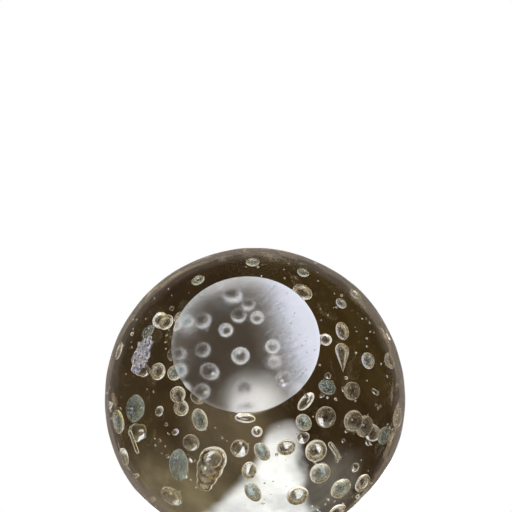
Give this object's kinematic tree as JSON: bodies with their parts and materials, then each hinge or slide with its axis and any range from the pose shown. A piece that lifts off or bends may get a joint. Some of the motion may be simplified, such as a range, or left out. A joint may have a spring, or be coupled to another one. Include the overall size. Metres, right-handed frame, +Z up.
{
  "type": "paperweight",
  "caption": "Solid glass ball paperweight, cased in layers over trapped air bubbles, standing on a ground flat base.",
  "frame": {"origin": "centre of the ground base face, where the ball stands", "axes": "+Z up through the ball's centre; +X and +Y are free directions across the base"},
  "size_m": [0.075, 0.075, 0.0707],
  "materials": {
    "smoky_glass": "fire polished, smoky olive brown",
    "ground_glass": "ground and lapped to a fine satin",
    "trapped_air": "mirror-bright wall of a bubble",
    "grained_air": "finely grained wall of a bubble"
  },
  "bodies": {
    "root": {"core_gather": "smoky_glass", "middle_gather": "smoky_glass", "outer_gather": "smoky_glass", "ground_base": "ground_glass", "round_bubbles": "trapped_air", "oval_bubbles": "trapped_air", "base_bubbles": "trapped_air", "side_bubbles": "trapped_air", "tear_bubbles": "trapped_air", "twin_bubbles": "trapped_air", "folded_bubble": "trapped_air", "rod_bubbles": "trapped_air", "seed_bubbles": "trapped_air", "core_bubbles": "trapped_air", "core_side_bubbles": "trapped_air", "core_seed_bubbles": "trapped_air", "frosted_round_bubbles": "grained_air", "frosted_oval_bubbles": "grained_air", "frosted_side_bubbles": "grained_air", "froth_bubbles": "grained_air"}
  },
  "joints": []
}
